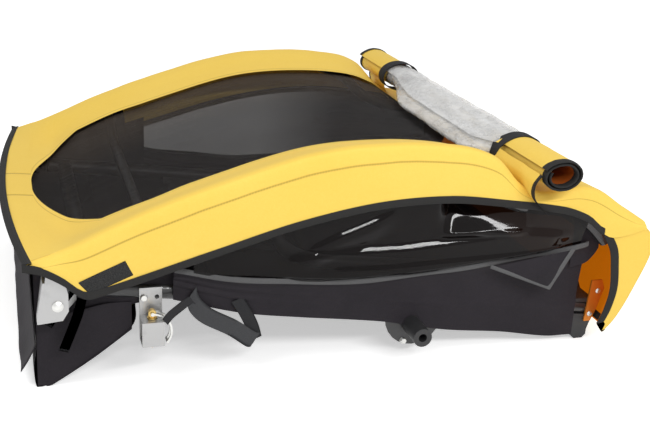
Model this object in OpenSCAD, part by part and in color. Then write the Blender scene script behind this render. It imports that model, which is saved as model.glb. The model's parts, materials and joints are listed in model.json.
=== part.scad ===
// Child bicycle trailer, folded flat with its wheels and tow arm taken off.
// +X runs rearward, +Y to the trailer's right side, +Z up, all in millimetres.
// The ground is at zero, and the left side is the negative Y side.

/* [Cover] */
// Half width of the cover, to the outside of its side flaps
cover_half_w = 346; // [342:1:352]
// Thickness of the cover cloth as it lies
cloth_t = 2.4; // [1.6:0.2:3]
// How far the mesh window lies below the side ridges
window_dip = 28; // [16:1:32]
// Half width of the mesh window
window_half_w = 240; // [200:5:250]
// Rolled clear front panel, half of its width
roll_r = 35; // [32:1:36]
// Turns in the rolled panel
roll_turns = 2; // [1.5:0.25:2]

/* [Frame] */
// Outside diameter of the base tubes
rail_d = 25.4; // [22:0.1:25.4]
// Outside diameter of the upper arch tubes
arch_d = 20; // [16:0.5:20]
// Outside diameter of the rear hoop tube
hoop_d = 22; // [18:0.5:22]
// Wall of the frame tubes
tube_wall = 1.8; // [1:0.1:2.5]
// Rear hoop, from its pivot to the middle of its top bar
hoop_len = 455; // [430:1:460]
// Diameter of the fold pivots
pivot_d = 8; // [6:0.5:9]

/* [Axle and tow arm] */
// Wheel axle diameter
axle_d = 12.7; // [10:0.1:14]
// Half distance between the axle socket mouths
track_half_w = 350; // [342:1:356]
// Inside width of the tow arm receiver
receiver_w = 26; // [22:0.5:26]
// Diameter of the tow arm pin
tow_pin_d = 8; // [6:0.5:8]

/* [Soft parts] */
// Thickness of the seat cushion at its crown
seat_t = 18; // [10:1:18]
// Thickness of the seat back pad at its crown
back_t = 16; // [8:1:16]
// Webbing thickness
web_t = 1.6; // [1:0.1:2]

/* [Hidden] */
$fn = 48;

// Running clearance of a pivot and assembly gap of a fixed fit
run_gap = 0.05;
fit_gap = 0.05;

// Fold pivots in the side view, as [x, z]
front_pivot = [-418, 134];
rear_pivot = [378, 84];

// Base rails in the side view, front end and rear end
rail_front = [-400, 142];
rail_rear = [388, 50];
rail_y = 285;
rail_tilt = atan2(rail_front.y - rail_rear.y, rail_rear.x - rail_front.x);
function rail_z(x) = rail_front.y + (rail_rear.y - rail_front.y) * (x - rail_front.x)
  / (rail_rear.x - rail_front.x);

// Stations of the cover's ridge and of the lower edge of its side flap, as [x, z]
ridge = [[-458, 198], [-410, 213], [-300, 260], [-189, 298], [-75, 330], [20, 339], [130, 333],
  [190, 314], [232, 272], [270, 259], [330, 264], [362, 256], [401, 230], [440, 206]];
flap_edge = [[-458, 190], [-440, 186], [-412, 170], [-384, 148], [-360, 151], [-206, 197],
  [-96, 229], [16, 250], [120, 254], [213, 241], [294, 223], [358, 198], [400, 190], [440, 199]];

// Back outline of the rear panel and inner edge of its side returns, top to bottom
back_line = [[434, 196], [464, 178], [461, 145], [443, 100], [420, 54], [402, 32]];
return_line = [[398, 182], [389, 160], [395, 126], [395, 88], [390, 62], [385, 44]];

// Lower edge of the side wall, and the seam between the side wall and the side window
wall_foot = [[-262, 118], [-158, 90], [-35, 74], [55, 61], [148, 40], [240, 27], [317, 11], [356, 10]];
window_seam = [[-262, 168], [-200, 152], [-120, 142], [-45, 134], [62, 135], [139, 140], [195, 146], [265, 153],
  [328, 161], [356, 166]];

// Position of the stations either side of x
function span(keys, x, i = 0) = i >= len(keys) - 2 || x < keys[i + 1].x ? i : span(keys, x, i + 1);
function slope(keys, i) =
  let(a = keys[max(i - 1, 0)], b = keys[min(i + 1, len(keys) - 1)]) (b.y - a.y) / (b.x - a.x);
// Height at x on the smooth line through the stations
function curve(keys, x) =
  let(i = span(keys, x), a = keys[i], b = keys[i + 1], w = b.x - a.x, t = (x - a.x) / w, h = ease(t))
  a.y * (1 - h) + b.y * h
  + w * (slope(keys, i) * t * (1 - t) * (1 - t) - slope(keys, i + 1) * t * t * (1 - t));
// Point at s on the smooth path through the stations, one unit of s a station
function bend(keys, i) = (keys[min(i + 1, len(keys) - 1)] - keys[max(i - 1, 0)]) / 2;
function path(keys, s) =
  let(i = min(floor(s), len(keys) - 2), t = s - i, h = ease(t))
  keys[i] * (1 - h) + keys[i + 1] * h
  + bend(keys, i) * t * (1 - t) * (1 - t) - bend(keys, i + 1) * t * t * (1 - t);
function ease(t) = t <= 0 ? 0 : t >= 1 ? 1 : t * t * (3 - 2 * t);
function mix(a, b, t) = a + (b - a) * t;
function steps(a, b, n) = [for (i = [0 : n]) mix(a, b, i / n)];
function mirrored(half) = concat([for (i = [len(half) - 1 : -1 : 1]) -half[i]], half);

// Closed sheet of thickness t below a grid of points; skip names the cells that are left open
module sheet(p, t, skip = function(i, j) false) {
  nu = len(p) - 1;
  nv = len(p[0]) - 1;
  n = (nu + 1) * (nv + 1);
  normal = function(i, j)
    let(c = cross(p[min(i + 1, nu)][j] - p[max(i - 1, 0)][j], p[i][min(j + 1, nv)] - p[i][max(j - 1, 0)]))
    c / norm(c);
  points = concat(
    [for (i = [0 : nu]) for (j = [0 : nv]) p[i][j]],
    [for (i = [0 : nu]) for (j = [0 : nv]) p[i][j] - t * normal(i, j)]);
  open = function(i, j) i < 0 || j < 0 || i >= nu || j >= nv || skip(i, j);
  at = function(i, j) i * (nv + 1) + j;
  wall = function(a, b) [[a, b, b + n], [a, b + n, a + n]];
  faces = [for (i = [0 : nu - 1]) for (j = [0 : nv - 1]) if (!open(i, j))
    let(a = at(i, j), b = at(i + 1, j), c = at(i + 1, j + 1), d = at(i, j + 1))
    each concat([[a, d, c], [a, c, b], [a + n, b + n, c + n], [a + n, c + n, d + n]],
      open(i, j - 1) ? wall(a, b) : [], open(i + 1, j) ? wall(b, c) : [],
      open(i, j + 1) ? wall(c, d) : [], open(i - 1, j) ? wall(d, a) : [])];
  polyhedron(points, faces, convexity = 6);
}

// Tube along Y between two values of y, at a point [x, z] of the side view
module across(at, y0, y1, d, wall = 0) {
  translate([at.x, y0, at.y]) rotate([-90, 0, 0]) difference() {
    cylinder(d = d, h = y1 - y0);
    if (wall > 0) translate([0, 0, -1]) cylinder(d = d - 2 * wall, h = y1 - y0 + 2);
  }
}
// Round bar between two points
module rod(a, b, d) {
  v = b - a;
  translate(a) rotate([0, acos(v.z / norm(v)), atan2(v.y, v.x)]) cylinder(d = d, h = norm(v));
}
// Plate of a side view outline [x, z], between y0 and y1
module plate(outline, y0, y1) {
  translate([0, y1, 0]) rotate([90, 0, 0]) linear_extrude(y1 - y0) polygon(outline);
}
// The same shape on the left side, with side = -1, or on the right side, with side = 1
module on_side(side) {
  if (side > 0) children();
  else mirror([0, 1, 0]) children();
}
module both_sides() {
  for (side = [-1, 1]) on_side(side) children();
}
// Bar bent along side view stations [x, z], with n rings of a few sides
module bent_bar(keys, y, d, n, sides = 12) {
  line = [for (s = steps(0, len(keys) - 1, n)) path(keys, s)];
  heading = function(i) let(v = line[min(i + 1, n)] - line[max(i - 1, 0)]) v / norm(v);
  points = [for (i = [0 : n]) let(h = heading(i)) for (k = [0 : sides - 1])
    let(a = 360 * k / sides, r = d / 2) [line[i].x - r * cos(a) * h.y, y + r * sin(a), line[i].y + r * cos(a) * h.x]];
  ring = function(i, k) i * sides + k % sides;
  faces = concat(
    [for (i = [0 : n - 1]) for (k = [0 : sides - 1]) each [
      [ring(i, k), ring(i + 1, k), ring(i + 1, k + 1)], [ring(i, k), ring(i + 1, k + 1), ring(i, k + 1)]]],
    [for (k = [1 : sides - 2]) [ring(0, 0), ring(0, k), ring(0, k + 1)]],
    [for (k = [1 : sides - 2]) [ring(n, 0), ring(n, k + 1), ring(n, k)]]);
  polyhedron(points, faces, convexity = 6);
}
module pipe(d, wall, h) {
  difference() {
    cylinder(d = d, h = h);
    translate([0, 0, -1]) cylinder(d = d - 2 * wall, h = h + 2);
  }
}

// Base frame
module base_rail(side) {
  color("dimgray") on_side(side) translate([rail_front.x, rail_y, rail_front.y])
    rotate([0, 90 + rail_tilt, 0]) pipe(rail_d, tube_wall, norm(rail_rear - rail_front));
}
module rail_core(grow) {
  translate([rail_front.x, rail_y, rail_front.y]) rotate([0, 90 + rail_tilt, 0])
    translate([0, 0, -40]) cylinder(d = rail_d + 2 * grow, h = norm(rail_rear - rail_front) + 80);
}

cross_half = rail_y - rail_d / 2 - 0.4;
axle_at = [93, 50];
axle_tube_at = [88, 55];
module front_cross_tube() {
  color("dimgray") across([-372, rail_z(-372)], -cross_half, cross_half, rail_d, tube_wall);
}
module axle_cross_tube() {
  color("dimgray") across(axle_tube_at, -bracket_y, bracket_y, rail_d, tube_wall);
}
module rear_cross_tube() {
  color("dimgray") across(rail_rear, -cross_half, cross_half, rail_d, tube_wall);
}

// Moulded plugs that close the open tube ends
plug_len = 14;
module plug(d) {
  cylinder(d = d - 2 * tube_wall - 2 * fit_gap, h = plug_len);
  translate([0, 0, -3]) cylinder(d1 = d - 5, d2 = d, h = 3);
}
module tube_plugs() {
  color("black") both_sides() {
    translate([rail_front.x, rail_y, rail_front.y]) rotate([0, 90 + rail_tilt, 0]) plug(rail_d);
    translate([rail_rear.x, rail_y, rail_rear.y]) rotate([0, rail_tilt - 90, 0]) plug(rail_d);
  }
}

// Folded aluminium clevis at the front, which holds the foot of the arch tube
gusset_in = rail_y + rail_d / 2 + 0.1;
gusset_out = 330;
gusset_t = 3;
gusset_plate = [[-442, 110], [-431, 184], [-399, 164], [-392, 150], [-392, 128], [-404, 114]];
gusset_cheek = [[-442, 110], [-431, 184], [-409, 170], [-404, 150], [-404, 126], [-412, 113]];
module front_gusset(side) {
  web = [[-445, 110], [-436.4, 168], [-433.4, 168], [-442, 110]];
  color("silver") on_side(side) difference() {
    union() {
      plate(gusset_plate, gusset_in, gusset_in + gusset_t);
      plate(gusset_cheek, gusset_out, gusset_out + gusset_t);
      plate(web, gusset_in, gusset_out + gusset_t);
    }
    across(front_pivot, gusset_in - 1, gusset_out + gusset_t + 1, pivot_d + 0.2);
  }
}

// Bolt along Y with a domed head on the outside and a nut on the inside
module pivot_bolt(at, y0, y1, nut = 6) {
  across(at, y0, y1, pivot_d);
  translate([at.x, y1, at.y]) rotate([-90, 0, 0]) intersection() {
    cylinder(d = 2 * pivot_d - 1, h = pivot_d / 2);
    translate([0, 0, -7]) sphere(r = 11.5);
  }
  translate([at.x, y0, at.y]) rotate([90, 0, 0]) cylinder(d = 2 * pivot_d - 2, h = nut, $fn = 6);
}
spacer_gap = 0.3;
module front_pivot_bolts() {
  arch_in = arch_y - arch_d / 2 - spacer_gap;
  arch_out = arch_y + arch_d / 2 + spacer_gap;
  color("silver") both_sides() {
    pivot_bolt(front_pivot, gusset_in, gusset_out + gusset_t, 5);
    across(front_pivot, gusset_in + gusset_t, arch_in, pivot_d + 6);
    across(front_pivot, arch_out, gusset_out, pivot_d + 6);
  }
}

// Moulded rear corners, whose flat undersides rest on the ground
corner_in = 250;
corner_slot = 20;
corner_bore = rail_d + 0.6;
module rear_corner(side) {
  block = [[370, 0], [384, 0], [390, 6], [390, 14], [400, 46], [400, 60], [394, 68], [366, 68], [362, 60], [362, 8]];
  color("black") on_side(side) difference() {
    plate(block, corner_in, gusset_in - 0.2);
    rail_core(fit_gap);
    translate([rail_rear.x, rail_y, rail_rear.y]) rotate([0, rail_tilt, 0])
      translate([-60, 0, -corner_slot / 2]) cube([120, 20, corner_slot]);
    across(rail_rear, corner_in - 1, rail_y, corner_bore);
  }
}

// Side plates riveted to the rear corners
rivet_at = [[401, 80], [391, 42]];
module rear_plates() {
  outline = [[382, 30], [393, 30], [400, 46], [411, 84], [406, 98], [388, 98]];
  color("silver") both_sides() difference() {
    plate(outline, gusset_in, gusset_in + gusset_t);
    for (at = rivet_at) across(at, gusset_in - 1, gusset_in + gusset_t + 1, 5.2);
  }
}
module plate_rivets() {
  color("white") both_sides() for (at = rivet_at) {
    across(at, gusset_in + 0.2, gusset_in + gusset_t, 5);
    translate([at.x, gusset_in + gusset_t, at.y]) rotate([-90, 0, 0])
      cylinder(d1 = 9, d2 = 5, h = 2.4);
  }
}

// Saddle bracket that carries the foot of the rear hoop on the rear cross tube
hoop_y = 232;
hoop_tilt = 6.6;
lug_in = hoop_y - hoop_d / 2 - 4.4;
lug_out = hoop_y + hoop_d / 2 + 0.4;
lug_t = 4;
module hoop_bracket(side) {
  lug = [[364, 78], [369, 96], [388, 96], [402, 60], [402, 36], [380, 36], [372, 58]];
  foot = [[398, 38], [402, 38], [402, 60], [398, 66]];
  color("dimgray") on_side(side) difference() {
    union() {
      plate(lug, lug_in, lug_in + lug_t);
      plate(lug, lug_out, lug_out + lug_t);
      plate(foot, lug_in, lug_out + lug_t);
    }
    across(rail_rear, lug_in - 1, lug_out + lug_t + 1, rail_d + 2 * fit_gap);
    across(rear_pivot, lug_in - 1, lug_out + lug_t + 1, pivot_d + 0.2);
  }
}
module hoop_pivot_bolts() {
  color("silver") both_sides() pivot_bolt(rear_pivot, lug_in, lug_out + lug_t);
}

// Wheel axle brackets and their sockets
bracket_y = 297.9;
bracket_t = 2.4;
bracket_holes = [[62, 86], [136, 86], [82, 24]];
socket_depth = 46;
bracket_round = [96, 61, 44];
module axle_bracket(side) {
  outline = concat([[48, 98], [48, 64]],
    [for (a = [180 : 15 : 330]) [bracket_round.x, bracket_round.y] + bracket_round.z * [cos(a), sin(a)]],
    [[150, 50], [150, 98]]);
  color([0.08, 0.08, 0.08]) on_side(side) difference() {
    plate(outline, bracket_y, bracket_y + bracket_t);
    for (at = bracket_holes) across(at, bracket_y - 1, bracket_y + bracket_t + 1, 6.4);
  }
}
module axle_socket(side) {
  socket_r = 14;
  root = bracket_y + bracket_t;
  color([0.1, 0.1, 0.1]) on_side(side) difference() {
    across(axle_at, root, track_half_w, 2 * socket_r);
    across(axle_at, track_half_w - socket_depth, track_half_w + 1, axle_d + 0.1);
  }
}

// Tow arm receiver: a folded channel that hangs from the left rail
receiver_x = [-308, -277];
receiver_z = [62, 98];
receiver_t = 3;
receiver_y = -gusset_in;
pin_at = [-292.5, receiver_y - receiver_t - receiver_w / 2];
module tow_receiver() {
  y_out = receiver_y - receiver_w - 2 * receiver_t;
  length = receiver_x[1] - receiver_x[0];
  color("gainsboro") difference() {
    union() {
      translate([receiver_x[0], y_out, receiver_z[0]])
        cube([length, receiver_w + 2 * receiver_t, receiver_z[1] - receiver_z[0]]);
      translate([receiver_x[0], receiver_y - receiver_t, receiver_z[0]]) cube([length, receiver_t, 76]);
    }
    translate([receiver_x[0] - 1, y_out + receiver_t, receiver_z[0] + receiver_t])
      cube([length + 2, receiver_w, receiver_z[1] - receiver_z[0] - 2 * receiver_t]);
    translate([pin_at.x, pin_at.y, 0]) cylinder(d = tow_pin_d + 2 * run_gap, h = 200);
    for (x = [-302, -284]) across([x, 124], receiver_y - receiver_t - 1, receiver_y + 1, 6.4);
  }
}
module frame_bolts() {
  color("silver") {
    across([-302, 124], receiver_y - receiver_t - 0.2, receiver_y - 0.2, 6);
    translate([-302, receiver_y - receiver_t, 124]) rotate([90, 0, 0]) cylinder(d1 = 11, d2 = 8, h = 4);
    both_sides() {
      for (at = bracket_holes) across(at, bracket_y + 0.2, bracket_y + bracket_t, 6);
      translate([bracket_holes[2].x, bracket_y + bracket_t, bracket_holes[2].y]) rotate([-90, 0, 0])
        cylinder(d1 = 11, d2 = 8, h = 4);
    }
  }
}

// Tow arm pin, its wire bail and its webbing lanyard
pin_z = [55, 106];
bail_r = 26;
bail_wire = 2.6;
bail_ear = 5.6;
module tow_pin() {
  color("goldenrod") translate([pin_at.x, pin_at.y, 0]) difference() {
    union() {
      translate([0, 0, pin_z[0] + 3]) cylinder(d = tow_pin_d, h = pin_z[1] - pin_z[0] - 3);
      translate([0, 0, pin_z[0]]) cylinder(d1 = tow_pin_d - 3, d2 = tow_pin_d, h = 3);
      translate([0, 0, receiver_z[1] + 0.4]) cylinder(d = tow_pin_d + 6, h = 2);
      translate([0, 0, pin_z[1]]) rotate([90, 0, 0]) cylinder(d = 11, h = 2 * bail_ear - 4, center = true);
    }
    translate([0, 0, pin_z[1]]) rotate([90, 0, 0])
      cylinder(d = bail_wire + 2 * run_gap, h = 40, center = true);
  }
}
module pin_bail() {
  arc_from = -38;
  reach = 60;
  color("silver") translate([pin_at.x, pin_at.y, pin_z[1]]) {
    rotate([90, 0, 0]) cylinder(d = bail_wire, h = 2 * bail_ear + bail_wire + 0.8, center = true);
    for (y = [-bail_ear, bail_ear]) translate([0, y + bail_wire / 2, 0]) rotate([90, 0, 0])
      linear_extrude(bail_wire) {
        circle(d = 2 * bail_wire);
        translate([0, -bail_r]) intersection() {
          difference() {
            circle(r = bail_r + bail_wire / 2, $fn = 96);
            circle(r = bail_r - bail_wire / 2, $fn = 96);
          }
          polygon([[0, 0], reach * [cos(arc_from), sin(arc_from)], [reach, reach], [0, reach]]);
        }
      }
    translate([bail_r * cos(arc_from), 0, bail_r * sin(arc_from) - bail_r]) rotate([0, -arc_from, 0])
      cube([bail_wire + 0.4, 2 * bail_ear + bail_wire + 0.6, bail_wire + 0.4], center = true);
  }
}
module pin_lanyard() {
  y_face = receiver_y - receiver_t - 4.2;
  strap = [[-281, 99], [-276, 108], [-252, 128], [-240, 133], [-236, 122], [-250, 116], [-270, 99]];
  color([0.12, 0.12, 0.12]) plate(strap, y_face - web_t, y_face);
}

// Webbing loop under each side for strapping the wheels to the folded trailer
module wheel_straps() {
  strap_y = 305;
  front = [[-246, 128], [-228, 128], [-214, 106], [-144, 67], [-142, 41], [-152, 38], [-226, 82], [-240, 106]];
  rear = [[-182, 112], [-166, 112], [-142, 72], [-142, 44], [-150, 44], [-158, 72]];
  color([0.16, 0.16, 0.16]) both_sides() {
    plate(front, strap_y + 2.4, strap_y + 2.4 + web_t);
    plate(rear, strap_y, strap_y + web_t);
    translate([-144, strap_y, 40]) cube([2.4, 2.4 + web_t, 26]);
  }
}

// Cloth of the base
module floor_sheet() {
  top = function(x) rail_z(x) - 9;
  half = rail_y - rail_d / 2 - 4;
  color([0.14, 0.13, 0.14]) sheet([for (x = steps(-312, 356, 8)) [for (y = steps(-half, half, 8))
    [x, y, top(x) - 2 * (1 - pow(y / half, 2))]]], cloth_t);
}

// Deep footwell that hangs at the front and stands on its hem
tub_half = gusset_in - 0.3;
module footwell_tub() {
  outer = [[-451.5, 170], [-448, 62], [-470, 26], [-468.5, 23], [-449, 38], [-449, 0], [-428, 0], [-318, 80],
    [-318, 83], [-428, 3.2], [-446, 3.2], [-445.5, 60], [-449, 170]];
  side = [[-446, 106], [-447.5, 3.2], [-428, 3.2], [-318, 83], [-318, 118], [-384, 118], [-390, 106]];
  color([0.12, 0.11, 0.12]) {
    plate(outer, -tub_half, tub_half);
    both_sides() plate(side, tub_half - cloth_t, tub_half);
  }
}

// Crowned cushion over a flat base: edges are thin, the middle is full
module cushion(x0, x1, half, thick, base) {
  crown = function(u, v) thick * (0.45 + 0.55 * pow(max(0, 1 - pow(u, 6)) * max(0, 1 - pow(v, 6)), 0.5));
  drawn = function(u, v) 1 - 0.02 * (1 - pow(u, 2)) * pow(v, 4);
  nu = 12;
  nv = 16;
  point = function(u, v, h) [mix(x0, x1, (u * drawn(v, u) + 1) / 2), half * v * drawn(u, v),
    base(mix(x0, x1, (u + 1) / 2)) + h];
  grid = steps(-1, 1, nu);
  wide = steps(-1, 1, nv);
  n = (nu + 1) * (nv + 1);
  points = concat([for (u = grid) for (v = wide) point(u, v, crown(u, v))],
    [for (u = grid) for (v = wide) point(u, v, 0)]);
  at = function(i, j) i * (nv + 1) + j;
  wall = function(a, b) [[a, b, b + n], [a, b + n, a + n]];
  faces = concat([for (i = [0 : nu - 1]) for (j = [0 : nv - 1])
    let(a = at(i, j), b = at(i + 1, j), c = at(i + 1, j + 1), d = at(i, j + 1))
    each concat([[a, d, c], [a, c, b], [a + n, b + n, c + n], [a + n, c + n, d + n]],
      j == 0 ? wall(a, b) : [], i == nu - 1 ? wall(b, c) : [],
      j == nv - 1 ? wall(c, d) : [], i == 0 ? wall(d, a) : [])]);
  polyhedron(points, faces, convexity = 4);
}
module seat_cushion() {
  color([0.2, 0.2, 0.21]) cushion(-196, 240, 262, seat_t, function(x) rail_z(x) - 8.6);
}

// Lower side wall of black cloth, leaning out to the window seam, notched for the axle tube
tube_notch = function(i, j) (i == 10 || i == 11) && j <= 1;
module side_wall(side) {
  color([0.13, 0.12, 0.14]) on_side(side) sheet([for (x = steps(-262, 356, 20)) [for (v = steps(0, 1, 6))
    let(z = mix(curve(wall_foot, x), curve(window_seam, x), v))
    [x, 300.6 + 15 * pow(v, 4) + 2.5 * v * v * sin(x * 2.2 + 60), z]]], cloth_t, tube_notch);
}

// Smoked side window, slack and rippled while the trailer is folded
module side_window(side) {
  color([0.1, 0.07, 0.06, 0.9]) on_side(side) sheet([for (x = steps(-250, 344, 22)) [for (v = steps(0, 1, 8))
    let(seam = curve(window_seam, x) + 3, top = max(curve(flap_edge, x) + 10, seam + 12))
    [x, mix(318.5, 338, ease(v)) + 4 * sin(180 * v) * sin(x * 1.9 + 140 * v),
     mix(seam, top, v)]]], 1.2);
}

// Back of the cover, from the rear edge of the top to the ground, with a return on each side
module rear_panel() {
  rows = steps(0, len(back_line) - 1, 15);
  half = cover_half_w - 2;
  color("gold") sheet([for (s = rows)
    let(b = path(back_line, s), r = path(return_line, s), k = [r, mix(r, b, 0.55), mix(r, b, 0.9)],
      left = [for (i = [0 : 2]) [k[i].x, -half + 7 * i * i / 4, k[i].y]],
      middle = [for (y = steps(-318, 318, 8)) [b.x + 4 * (1 - pow(y / 318, 2)), y, b.y]],
      right = [for (i = [2 : -1 : 0]) [k[i].x, half - 7 * i * i / 4, k[i].y]])
    concat(left, middle, right)], cloth_t);
}

// Harness pieces
buckle_x = -150;
buckle_y = 130;
buckle_size = [46, 34, 13];
function seat_top(x) = rail_z(x) - 8.6 + seat_t + 0.6;
module at_buckle(side) {
  translate([buckle_x, side * buckle_y, seat_top(buckle_x)]) rotate([0, rail_tilt, 0]) children();
}
module crotch_straps() {
  color([0.15, 0.15, 0.15]) for (side = [-1, 1]) at_buckle(side)
    translate([buckle_size.x / 2 + 0.2, -12.5, 4]) cube([70, 25, web_t]);
}
button_d = 18;
button_travel = 3;
module buckle(side) {
  color([0.1, 0.1, 0.1]) at_buckle(side) difference() {
    translate([-buckle_size.x / 2, -buckle_size.y / 2, 0]) cube(buckle_size);
    translate([0, 0, buckle_size.z - 7]) cylinder(d = button_d + 2 * run_gap + 0.1, h = 10);
  }
}
module buckle_button(side) {
  color("firebrick") at_buckle(side) translate([0, 0, buckle_size.z - 7 + button_travel + 0.3])
    cylinder(d = button_d, h = 4.6);
}

// Upper frame: two bent side tubes and two cross bars that carry the cover
arch_y = 317;
arch_line = [[-409, 154], [-405, 163], [-393, 190], [-364, 215], [-280, 247], [-190, 281], [-70, 309], [54, 316],
  [117, 309], [166, 286], [198, 256], [243, 234], [322, 222], [358, 203], [391, 170]];
module arch_tube(side) {
  color([0.1, 0.1, 0.1]) on_side(side) bent_bar(arch_line, arch_y, arch_d, 42);
}
// Drilled feet that pivot in the front gussets and carry the arch tubes
module arch_feet() {
  along = (arch_line[1] - arch_line[0]) / norm(arch_line[1] - arch_line[0]);
  low = front_pivot - 12 * along;
  high = arch_line[0] - 0.05 * along;
  color([0.1, 0.1, 0.1]) both_sides() difference() {
    rod([low.x, arch_y, low.y], [high.x, arch_y, high.y], arch_d);
    across(front_pivot, arch_y - arch_d, arch_y + arch_d, pivot_d + 2 * run_gap);
  }
}
bar_half = arch_y - arch_d / 2 - 0.3;
front_bar_at = [-290, 243];
front_bar_drop = 40;
module front_bar() {
  bend_y = 205;
  low = front_bar_at.y - front_bar_drop;
  color([0.1, 0.1, 0.1]) {
    across([front_bar_at.x, low], -bend_y, bend_y, 16);
    both_sides() {
      translate([front_bar_at.x, bend_y, low]) sphere(d = 16);
      rod([front_bar_at.x, bend_y, low], [front_bar_at.x, bar_half - 6, front_bar_at.y - 10], 16);
    }
  }
}
lock_bar_at = [383, 178];
module lock_bar() {
  color([0.1, 0.1, 0.1]) across(lock_bar_at, -bar_half, bar_half, arch_d, tube_wall);
}
// Clamps that hold the front bar to the arch tubes
module bar_clamps() {
  color([0.07, 0.07, 0.07]) both_sides() difference() {
    translate([front_bar_at.x - 14, bar_half - 20, front_bar_at.y - 26]) cube([28, 19.7, 24]);
    rod([front_bar_at.x, 205, front_bar_at.y - front_bar_drop], [front_bar_at.x, bar_half - 6, front_bar_at.y - 10], 16.1);
  }
}

// Latches on the lock bar that catch the hoop when the trailer stands open
latch_y = 150;
latch_size = [34, 40, 30];
latch_travel = 3.5;
module at_latch(side) {
  translate([lock_bar_at.x, side * latch_y, lock_bar_at.y]) children();
}
module latch_housings() {
  color([0.07, 0.07, 0.07]) for (side = [-1, 1]) at_latch(side) difference() {
    translate([-latch_size.x / 2, -latch_size.y / 2, -12]) cube(latch_size);
    rotate([90, 0, 0]) cylinder(d = arch_d + 2 * fit_gap, h = latch_size.y + 2, center = true);
    translate([0, 0, latch_size.z - 12 - 6.5]) cylinder(d = 14.2, h = 20);
  }
}
module latch_button(side) {
  color("orangered") at_latch(side) translate([0, 0, latch_size.z - 12 - 6.2 + latch_travel])
    cylinder(d = 14, h = 7);
}

// Cover: a yellow border round the mesh window, with side flaps over the arch tubes
window_front = -425;
window_rear = 212;
window_corner = 73;
front_bow = 12;
ridge_y = 336;
function window_half(x) =
  window_half_w * pow(min(1, max(2, x - window_front + 2) / (window_corner + 2)), 0.42);
// The front edge is bowed forward in the middle
function bowed(x, y) =
  x - front_bow * ease(1 - (x - ridge[0].x) / 60) * (1 - pow(y / cover_half_w, 2));
function dip(x) = window_dip * ease((x - ridge[0].x) / 70) * (1 - 0.8 * ease((x - 180) / 60));
function top_z(x, y) =
  curve(ridge, x) - dip(x) * ease((ridge_y - abs(y)) / (ridge_y - window_half_w));
cover_x = concat([-458, -441], [for (d = [0, 5, 14, 28, 46, window_corner]) window_front + d],
  steps(-290, 180, 10), [198, window_rear], steps(226, 440, 9));
// Half of a cross row at x, from the middle to the hem of the flap, as [y, z]
function cover_row(x) =
  let(w = window_half(x), high = curve(ridge, x), low = curve(flap_edge, x), h = high - low)
  concat([for (y = [0, w / 2, w, (w + 318) / 2, 318, ridge_y]) [y, top_z(x, y)]],
    [[cover_half_w - 3, high - min(9, 0.35 * h)], [cover_half_w, mix(high, low, 0.6)], [cover_half_w, low]]);
function cover_grid() = [for (x = cover_x) let(half = cover_row(x), n = len(half) - 1)
  concat([for (i = [n : -1 : 1]) [bowed(x, half[i].x), -half[i].x, half[i].y]],
    [for (k = half) [bowed(x, k.x), k.x, k.y]])];
module cover() {
  first = search(window_front, cover_x)[0];
  last = search(window_rear, cover_x)[0];
  middle = len(cover_row(0)) - 1;
  color("gold") sheet(cover_grid(), cloth_t,
    skip = function(i, j) i >= first && i < last && j >= middle - 2 && j < middle + 2);
}
module mesh_window() {
  lap = 6;
  under = cloth_t + 4;
  rows = [for (c = cover_x) if (c >= window_front && c <= window_rear)
    c == window_front ? c - lap : c == window_rear ? c + lap : c];
  color([0.2, 0.19, 0.19]) sheet([for (x = rows) let(w = window_half(max(x, window_front)) + lap)
    [for (y = steps(-w, w, 12)) [bowed(x, y), y, top_z(x, y) - under - 2 * (1 - pow(y / w, 2))]]], 0.9);
}

// Rolled clear front panel, pressed flat as it lies, with cloth hems at its ends
roll_at = [259, 0, 301];
roll_lean = [1.1, 0, 2.5];
roll_core = 20;
roll_flat = 0.7;
roll_t = 4;
roll_clear = 240;
roll_end = 376;
function roll_line(offset) = [for (i = [0 : 24 * roll_turns])
  let(a = 15 * i + 150, r = mix(roll_core, roll_r - roll_t / 2, i / (24 * roll_turns)) + offset)
  r * [cos(a), roll_flat * sin(a)]];
module at_roll() {
  translate(roll_at) rotate(roll_lean) children();
}
module rolled(y0, y1) {
  outer = roll_line(roll_t / 2);
  inner = roll_line(-roll_t / 2);
  at_roll() plate(concat(outer, [for (i = [len(inner) - 1 : -1 : 0]) inner[i]]), y0, y1);
}
module clear_roll() {
  color([0.85, 0.85, 0.86, 0.6]) rolled(-roll_clear, roll_clear);
}
module roll_hem(side) {
  color("gold") rolled(side < 0 ? -roll_end : roll_clear, side < 0 ? -roll_clear : roll_end);
}
module roll_straps() {
  strap_w = 24;
  function ring(r) = [for (a = [0 : 10 : 350]) r * [cos(a), roll_flat * sin(a)]];
  color([0.08, 0.08, 0.08]) at_roll() for (y = [-roll_clear, roll_clear])
    translate([0, y + strap_w / 2, 0]) rotate([90, 0, 0]) linear_extrude(strap_w) difference() {
      polygon(ring(roll_r + web_t + 1.2));
      polygon(ring(roll_r + 1));
    }
}
// Hook-and-loop patch at the front corner of each flap
module hook_patches() {
  patch = [[-384, 168], [-333, 187], [-325, 172], [-372, 155]];
  color([0.05, 0.05, 0.05]) both_sides() plate(patch, cover_half_w + 0.1, cover_half_w + 1.5);
}

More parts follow.
